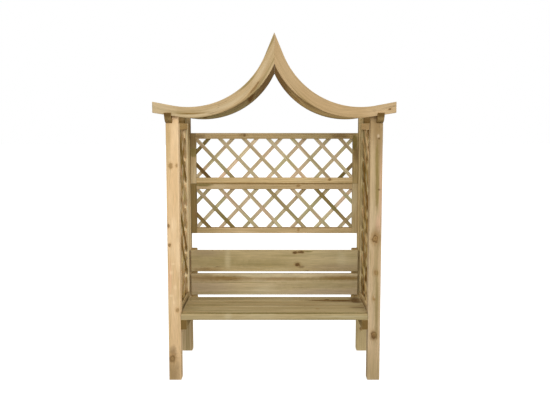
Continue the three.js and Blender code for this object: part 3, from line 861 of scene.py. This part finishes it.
# Laths: two layers of thin strips, cut to the opening and a little way into the frame's grooves
laths = {
    "width": 0.024,
    "thickness": 0.007,
    "bite": 0.0004,
    "intoGroove": 0.0097,
    "ease": 0.0006,
    "wander": 0.0009,  # how far a strip may lie off its line
    "tilt": 0.15,  # degrees that it may be turned
    "spacing": {"back": (0.158, 0.169), "side": (0.169, 0.1524)},  # across and up, between crossings
    # from the opening's centre to the nearest lath of each family, in shares of the spacing
    "shares": {"back": {"falling": 0.5, "rising": 0.5}, "side": {"falling": 0.7, "rising": -0.3}},
    "darkest": paint(104, 80, 40),
    # the colours that a strip passes through as its tone rises from the first number to the second
    "paler": (
        (0.0, 0.25, paint(150, 132, 86)),
        (0.25, 0.5, paint(206, 192, 160)),
        (0.5, 1.0, paint(246, 222, 194)),
    ),
    "lateTint": paint(206, 190, 168),
    "olive": (0.92, 1.0, 0.84, 1.0),
    "rose": (1.1, 1.0, 1.01, 1.0),
    "hueWave": (0.0, 0.0, 4.5),
    "hueEdge": (0.34, 0.66),
    "tints": {"back": (1.0, 1.0, 1.0, 1.0), "side": (1.14, 0.98, 0.84, 1.0)},
    "ringWidth": 0.004,
    "sway": 0.016,
    "seed": (3.1, 1.7, 0.0),
    # where in the log a strip is cut from: across it, from its pith, and along it
    "cutAcross": (-0.04, 0.04),
    "cutFromPith": (0.02, 0.07),
    "cutAlong": (0.0, 40.0),
    "plainTone": (0.15, 1.0),  # share of the palest tone that a strip without its own may have
    "plainPalest": (0.9, 0.9),
    # the palest that a strip without its own tones may be, at its top and at its foot
    "palest": {"side_panel_left_lattice": (0.72, 0.56), "side_panel_right_lattice": (0.74, 0.3)},
    # how pale each strip is at its top and at its foot: 0 is dark brown and 1 the palest
    "tones": {
        "back_panel_upper_lattice": {
            "falling": {-3.5: (0.1, 0.1), -2.5: (0.6, 0.3), -1.5: (0.6, 0.55), -0.5: (0.6, 0.5),
                        0.5: (0.5, 0.8), 1.5: (0.55, 0.4), 2.5: (0.6, 0.7), 3.5: (0.5, 0.5)},
            "rising": {3.5: (0.2, 0.2), 2.5: (0.6, 0.7), 1.5: (0.9, 0.9), 0.5: (0.7, 0.8),
                       -0.5: (0.4, 0.8), -1.5: (0.4, 0.7), -2.5: (0.6, 0.6), -3.5: (0.25, 0.15)},
        },
        "back_panel_lower_lattice": {
            "falling": {-3.5: (0.2, 0.2), -2.5: (0.5, 0.2), -1.5: (0.5, 0.5), -0.5: (0.6, 0.6),
                        0.5: (0.35, 0.35), 1.5: (0.6, 0.6), 2.5: (0.2, 0.35), 3.5: (0.5, 0.5)},
            "rising": {3.5: (0.4, 0.4), 2.5: (0.45, 0.6), 1.5: (0.6, 0.7), 0.5: (0.6, 0.4),
                       -0.5: (0.35, 0.6), -1.5: (0.45, 0.45), -2.5: (0.8, 0.7), -3.5: (0.5, 0.5)},
        },
    },
}


def lathMaterial(kind):
    material, tree = freshMaterial("pine_laths_" + kind)
    place = addNode(tree, "ShaderNodeAttribute", attribute_name="lathPlace").outputs["Vector"]
    tone = addNode(tree, "ShaderNodeAttribute", attribute_name="lathTone").outputs["Fac"]
    where = addNode(tree, "ShaderNodeTexCoord")
    figure = fillGroup(tree, pineFigure, {
        "Place": place,
        "Seed": laths["seed"],
        "Ring Width": laths["ringWidth"],
        "Sway": laths["sway"],
    })
    early = laths["darkest"]
    for low, high, paler in laths["paler"]:
        early = mixColour(tree, smoothStep(tree, tone, low, high), early, paler)
    wave = noiseOf(tree, vectorOf(tree, "MULTIPLY", place, laths["hueWave"]), 1.0, 2.0)
    hue = mixColour(tree, smoothStep(tree, wave, *laths["hueEdge"]), laths["olive"], laths["rose"])
    early = mixColour(tree, 1.0, early, hue, "MULTIPLY")
    early = mixColour(tree, 1.0, early, laths["tints"][kind], "MULTIPLY")
    late = mixColour(tree, 1.0, early, laths["lateTint"], "MULTIPLY")
    look = dict(wood, early=early, late=late, ringShare=0.6, streakShare=0.35, cloudShare=0.25)
    finishPine(tree, figure, look, [], where.outputs["Normal"], (0.0, 0.0, 1.0))
    return material


lathPine = {kind: lathMaterial(kind) for kind in ("back", "side")}


def makeStrip(line, opening, spacing, rising, chance):
    across, up = spacing
    halfWidth, halfHeight = opening
    length = 2 * math.hypot(halfWidth, halfHeight)
    slope = math.atan2(up, across)
    strip = bmesh.new()
    bmesh.ops.create_cube(strip, size=1.0)
    bmesh.ops.scale(strip, vec=(length, laths["thickness"], laths["width"]), verts=strip.verts)
    bmesh.ops.bevel(strip, geom=strip.edges, offset=laths["ease"], offset_type="OFFSET", affect="EDGES",
                    segments=1, profile=0.5, material=-1)
    nearest = line / (across ** -2 + up ** -2)
    layer = (laths["thickness"] - laths["bite"]) / 2
    offLine = chance.uniform(-laths["wander"], laths["wander"])
    tilt = math.radians(chance.uniform(-laths["tilt"], laths["tilt"]))
    turn = Matrix.Rotation(-rising * (slope + tilt), 4, "Y")
    spot = Vector((-rising * nearest / across, rising * layer, nearest / up + offLine))
    placed = Matrix.Translation(spot) @ turn
    bmesh.ops.transform(strip, matrix=placed, verts=strip.verts)
    for normal in ((1, 0, 0), (-1, 0, 0), (0, 0, 1), (0, 0, -1)):
        outward = Vector(normal)
        reach = (halfWidth if outward.x else halfHeight) + laths["intoGroove"]
        bmesh.ops.bisect_plane(strip, geom=strip.verts[:] + strip.edges[:] + strip.faces[:],
                               plane_co=outward * reach, plane_no=outward, clear_outer=True)
        openEdges = [edge for edge in strip.edges if edge.is_boundary]
        if openEdges:
            bmesh.ops.holes_fill(strip, edges=openEdges)
    return strip, placed.inverted()


def crossingsOf(opening, spacing, shares):
    across, up = spacing
    halfWidth, halfHeight = opening
    most = math.ceil(halfWidth / across + halfHeight / up)
    lines = {
        family: [step + share for step in range(-most, most + 1)]
        for family, share in shares.items()
    }
    kept = {"falling": set(), "rising": set()}
    crossings = []
    for falling in lines["falling"]:
        for rising in lines["rising"]:
            x = (falling - rising) * across / 2
            z = (falling + rising) * up / 2
            if abs(x) < halfWidth and abs(z) < halfHeight:
                kept["falling"].add(falling)
                kept["rising"].add(rising)
                crossings.append((x, z))
    return kept, crossings


def openingOf(prefix, panel):
    box = {part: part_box(prefix + part) for part in ("top_rail", "bottom_rail", *panel["stiles"])}
    axis = "xy".index(panel["along"])
    first, last = panel["stiles"]
    low = box[first][1][axis]
    high = box[last][0][axis]
    bottom = box["bottom_rail"][1].z
    top = box["top_rail"][0].z
    centre = (box["top_rail"][0] + box["top_rail"][1]) / 2
    centre[axis] = (low + high) / 2
    centre.z = (bottom + top) / 2
    return centre, ((high - low) / 2, (top - bottom) / 2)


def addTo(gathered, form):
    loose = bpy.data.meshes.new("loose")
    form.to_mesh(loose)
    form.free()
    gathered.from_mesh(loose)
    bpy.data.meshes.remove(loose)


def makeLattice(prefix, panel):
    name = prefix + "lattice"
    chance = random.Random(name)
    kind = panel["kind"]
    spacing = laths["spacing"][kind]
    palestTones = laths["palest"].get(name, laths["plainPalest"])
    centre, opening = openingOf(prefix, panel)
    toPanel = Matrix.Translation(centre)
    if panel["along"] == "y":
        toPanel = toPanel @ Matrix.Rotation(math.radians(90), 4, "Z")
    kept, crossings = crossingsOf(opening, spacing, laths["shares"][kind])
    gathered = bmesh.new()
    places = []
    tones = []
    for family, rising in (("falling", -1), ("rising", 1)):
        for line in sorted(kept[family]):
            strip, home = makeStrip(line, opening, spacing, rising, chance)
            plainShare = chance.uniform(*laths["plainTone"])
            plain = [palest * plainShare for palest in palestTones]
            toneTop, toneFoot = laths["tones"].get(name, {}).get(family, {}).get(line, plain)
            cut = Vector([chance.uniform(*laths[way]) for way in ("cutAcross", "cutFromPith", "cutAlong")])
            for vert in strip.verts:
                local = home @ vert.co
                places.extend((local.z + cut.x, local.y + cut.y, local.x + cut.z))
                upShare = min(max((vert.co.z + opening[1]) / (2 * opening[1]), 0), 1)
                tones.append(toneFoot + upShare * (toneTop - toneFoot))
            bmesh.ops.transform(strip, matrix=toPanel, verts=strip.verts)
            addTo(gathered, strip)
    piece = pieceFrom(gathered, name + "_laths", lathPine[kind], [name])
    placeField = piece.data.attributes.new("lathPlace", "FLOAT_VECTOR", "POINT")
    placeField.data.foreach_set("vector", places)
    toneField = piece.data.attributes.new("lathTone", "FLOAT", "POINT")
    toneField.data.foreach_set("value", tones)
    return [toPanel @ Vector((x, 0, z)) for x, z in crossings], toPanel


latticeSpots = {prefix: makeLattice(prefix, panel) for prefix, panel in panels.items()}
print("laths made")


# Fasteners: crown staples where laths cross, and countersunk screws
metal = {
    "metallic": 0.9,
    "spotScale": 420.0,
    "dullEdge": (0.35, 0.7),
    "dulled": 0.62,
    "roughnessEdge": (0.3, 0.7),
    "roughnessSpread": 0.2,
}


def metalMaterial(name, colour, roughness):
    material, tree = freshMaterial(name)
    spots = noiseOf(tree, addNode(tree, "ShaderNodeTexCoord").outputs["Object"], metal["spotScale"], 3.0)
    dull = (*(metal["dulled"] * level for level in colour[:3]), 1.0)
    rougher = roughness + metal["roughnessSpread"]
    useShader(tree, {
        "Base Color": mixColour(tree, smoothStep(tree, spots, *metal["dullEdge"]), colour, dull),
        "Metallic": metal["metallic"],
        "Roughness": smoothStep(tree, spots, *metal["roughnessEdge"], roughness, rougher),
    })
    return material


fasteners = {
    "stapleCrown": 0.010,
    "stapleWire": 0.0013,
    "stapleDepth": 0.0008,
    "stapleArris": 0.0003,
    "stapleTurn": 25,  # degrees either way
    "headSides": 24,
    "headRadius": 0.0042,
    "headTaper": 0.92,
    "headRise": 0.0004,
    "headRim": 0.3,  # in shares of the radius
    "headSpin": 1.5,  # radians at most
    "recessArm": 0.0024,
    "recessArmAngle": 10,  # degrees either side of an arm's middle
    "recessWaist": 0.0009,
    "recessDepth": 0.0009,
    "tongueDepth": 0.036,
    "tongueScrewHeights": (1.545, 1.582),
    "railScrewStep": 0.016,  # from the middle of the joint, along and down
    "bearerScrewStep": 0.015,
    "narrowSlat": 0.06,
    "narrowSlatRows": (0.5,),  # in shares of the slat's width
    "slatRows": (0.22, 0.78),
    "boardRows": (0.25, 0.75),
    "zinc": metalMaterial("zinc", paint(196, 194, 186), 0.42),
    "screwCoat": metalMaterial("screw_coat", paint(176, 148, 92), 0.45),
}


def makeStaples(prefix, spots, toPanel, outward):
    chance = random.Random(prefix + "staples")
    gathered = bmesh.new()
    face = laths["thickness"] - laths["bite"] / 2
    size = (fasteners["stapleCrown"], fasteners["stapleDepth"], fasteners["stapleWire"])
    for spot in spots:
        staple = bmesh.new()
        bmesh.ops.create_cube(staple, size=1.0)
        bmesh.ops.scale(staple, vec=size, verts=staple.verts)
        bmesh.ops.bevel(staple, geom=staple.edges, offset=fasteners["stapleArris"], offset_type="OFFSET",
                        affect="EDGES", segments=1, profile=0.5, material=-1)
        local = toPanel.inverted() @ spot
        turnBy = math.radians(chance.uniform(-fasteners["stapleTurn"], fasteners["stapleTurn"]))
        rise = outward * (face + fasteners["stapleDepth"] / 4)
        placed = toPanel @ Matrix.Translation((local.x, rise, local.z)) @ Matrix.Rotation(turnBy, 4, "Y")
        bmesh.ops.transform(staple, matrix=placed, verts=staple.verts)
        addTo(gathered, staple)
    pieceFrom(gathered, prefix + "staples", fasteners["zinc"])


for prefix, (spots, toPanel) in latticeSpots.items():
    makeStaples(prefix, spots, toPanel, panels[prefix]["outward"])


def makeScrew(gathered, spot, direction):
    head = bmesh.new()
    radius = fasteners["headRadius"]
    bmesh.ops.create_cone(head, cap_ends=True, segments=fasteners["headSides"], radius1=radius,
                          radius2=radius * fasteners["headTaper"], depth=fasteners["headRise"] * 2)
    cap = max(head.faces, key=lambda face: face.calc_center_median().z)
    bmesh.ops.inset_region(head, faces=[cap], thickness=radius * fasteners["headRim"], depth=0.0)
    for vert in list(cap.verts):  # the cap becomes a cross
        angle = math.degrees(math.atan2(vert.co.y, vert.co.x)) % 90
        arm = min(angle, 90 - angle) < fasteners["recessArmAngle"]
        reach = fasteners["recessArm"] if arm else fasteners["recessWaist"]
        vert.co.xy = vert.co.xy.normalized() * reach
    sunk = bmesh.ops.extrude_discrete_faces(head, faces=[cap])["faces"]
    bmesh.ops.translate(head, vec=(0, 0, -fasteners["recessDepth"]), verts=sunk[0].verts)
    turn = Vector(direction).to_track_quat("Z", "Y").to_matrix().to_4x4()
    spin = Matrix.Rotation(random.Random(str(spot)).uniform(0, fasteners["headSpin"]), 4, "Z")
    bmesh.ops.transform(head, matrix=Matrix.Translation(spot) @ turn @ spin, verts=head.verts)
    addTo(gathered, head)


def screwPiece(name, spots):
    gathered = bmesh.new()
    for spot, direction in spots:
        makeScrew(gathered, Vector(spot), direction)
    pieceFrom(gathered, name, fasteners["screwCoat"])


def slatScrews():
    spots = []
    for node in seat["marks"]:
        low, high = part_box(node)
        depth = high.y - low.y
        rows = fasteners["narrowSlatRows"] if depth < fasteners["narrowSlat"] else fasteners["slatRows"]
        for side in ("left", "right"):
            bearerLow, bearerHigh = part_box("seat_bearer_" + side)
            middle = (bearerLow.x + bearerHigh.x) / 2
            spots += [((middle, low.y + share * depth, high.z), (0, 0, 1)) for share in rows]
    return spots


def battenScrews():
    spots = []
    for side in ("left", "right"):
        low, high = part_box("backrest_batten_" + side)
        for board in ("upper", "lower"):
            boardLow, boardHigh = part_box("backrest_board_" + board)
            for share in fasteners["boardRows"]:
                z = boardLow.z + share * (boardHigh.z - boardLow.z)
                spots.append((((low.x + high.x) / 2, high.y, z), (0, 1, 0)))
    return spots


def postScrews():
    spots = []
    for side, outward in (("left", -1), ("right", 1)):
        for end, toward in (("front", -1), ("back", 1)):
            low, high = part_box("post_" + end + "_" + side)
            railLow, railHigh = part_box("side_top_rail_" + side)
            bearerLow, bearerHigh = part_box("seat_bearer_" + side)
            inner = low.x if outward > 0 else high.x
            outer = high.x if outward > 0 else low.x
            tongueX = (inner + (railLow.x if outward > 0 else railHigh.x)) / 2
            postFace = low.y if toward < 0 else high.y
            tongueY = postFace - toward * fasteners["tongueDepth"]
            middleY = (low.y + high.y) / 2
            for z in fasteners["tongueScrewHeights"]:
                spots.append(((tongueX, tongueY, z), (0, -toward, 0)))
            for step in (-fasteners["railScrewStep"], fasteners["railScrewStep"]):
                spots.append(((outer, middleY + step, (railLow.z + railHigh.z) / 2 - step), (outward, 0, 0)))
            bearerX = bearerLow.x if outward > 0 else bearerHigh.x
            for step in (-fasteners["bearerScrewStep"], fasteners["bearerScrewStep"]):
                z = (bearerLow.z + bearerHigh.z) / 2 + step
                spots.append(((bearerX, middleY + step, z), (-outward, 0, 0)))
    return spots


screwPiece("seat_screws", slatScrews())
screwPiece("batten_screws", battenScrews())
screwPiece("post_screws", postScrews())
print("fasteners made")


# Floor and light
studio = {
    "floorReach": 60.0,
    "floorDrop": 0.0002,
    "floorTone": paint(226, 226, 226),
    "floorRoughness": 0.9,
    "floorGlow": 0.72,
    "skySeen": 1.0,
    "skyBelow": 0.3,
    "skyAbove": 0.56,
    "skyEdge": (-0.3, 0.05),  # heights between which the sky's light rises from below to above
    "box": {"watts": 78.0, "size": (4.6, 1.4), "place": (0.3, -3.5, 2.15), "aim": (0.0, 0.0, 1.05)},
    "back": {"strength": 0.8, "spread": 90, "from": (0.3, 1.0, 0.36)},
}


def makeSky():
    world = bpy.data.worlds.new("studio")
    world.use_nodes = True
    tree = world.node_tree
    tree.nodes.clear()
    seen = addNode(tree, "ShaderNodeLightPath").outputs["Is Camera Ray"]
    toward = addNode(tree, "ShaderNodeTexCoord").outputs["Generated"]
    height = addNode(tree, "ShaderNodeSeparateXYZ", {0: toward}).outputs["Z"]
    light = smoothStep(tree, height, *studio["skyEdge"], studio["skyBelow"], studio["skyAbove"])
    missing = mathOf(tree, "SUBTRACT", studio["skySeen"], light)
    strength = mathOf(tree, "MULTIPLY_ADD", seen, missing, light)
    sky = addNode(tree, "ShaderNodeBackground", {"Color": (1, 1, 1, 1), "Strength": strength})
    addNode(tree, "ShaderNodeOutputWorld", {"Surface": sky.outputs["Background"]})
    scene.world = world


def makeFloor():
    form = bmesh.new()
    bmesh.ops.create_grid(form, x_segments=1, y_segments=1, size=studio["floorReach"])
    mesh = bpy.data.meshes.new("floor")
    form.to_mesh(mesh)
    form.free()
    floor = bpy.data.objects.new("floor", mesh)
    floor.location.z = -studio["floorDrop"]
    floor.visible_diffuse = False  # so that the white paper doesn't light the undersides
    floor.visible_glossy = False
    scene.collection.objects.link(floor)
    material, tree = freshMaterial("floor_paper")
    useShader(tree, {
        "Base Color": studio["floorTone"],
        "Roughness": studio["floorRoughness"],
        "Specular IOR Level": 0.0,
        "Emission Color": (1, 1, 1, 1),
        "Emission Strength": studio["floorGlow"],
    })
    mesh.materials.append(material)


def placeLamp(name, light, toward, place=(0.0, 0.0, 0.0)):
    lamp = bpy.data.objects.new(name, light)
    lamp.location = place
    lamp.rotation_euler = toward.to_track_quat("Z", "Y").to_euler()
    scene.collection.objects.link(lamp)


def makeLamps():
    box = studio["box"]
    softbox = bpy.data.lights.new("softbox", "AREA")
    softbox.shape = "RECTANGLE"
    softbox.size, softbox.size_y = box["size"]
    softbox.energy = box["watts"]
    placeLamp("softbox", softbox, Vector(box["place"]) - Vector(box["aim"]), box["place"])
    back = bpy.data.lights.new("back light", "SUN")
    back.energy = studio["back"]["strength"]
    back.angle = math.radians(studio["back"]["spread"])
    placeLamp("back light", back, Vector(studio["back"]["from"]))


makeSky()
makeFloor()
makeLamps()
scene.view_settings.view_transform = "Standard"
print("studio made")
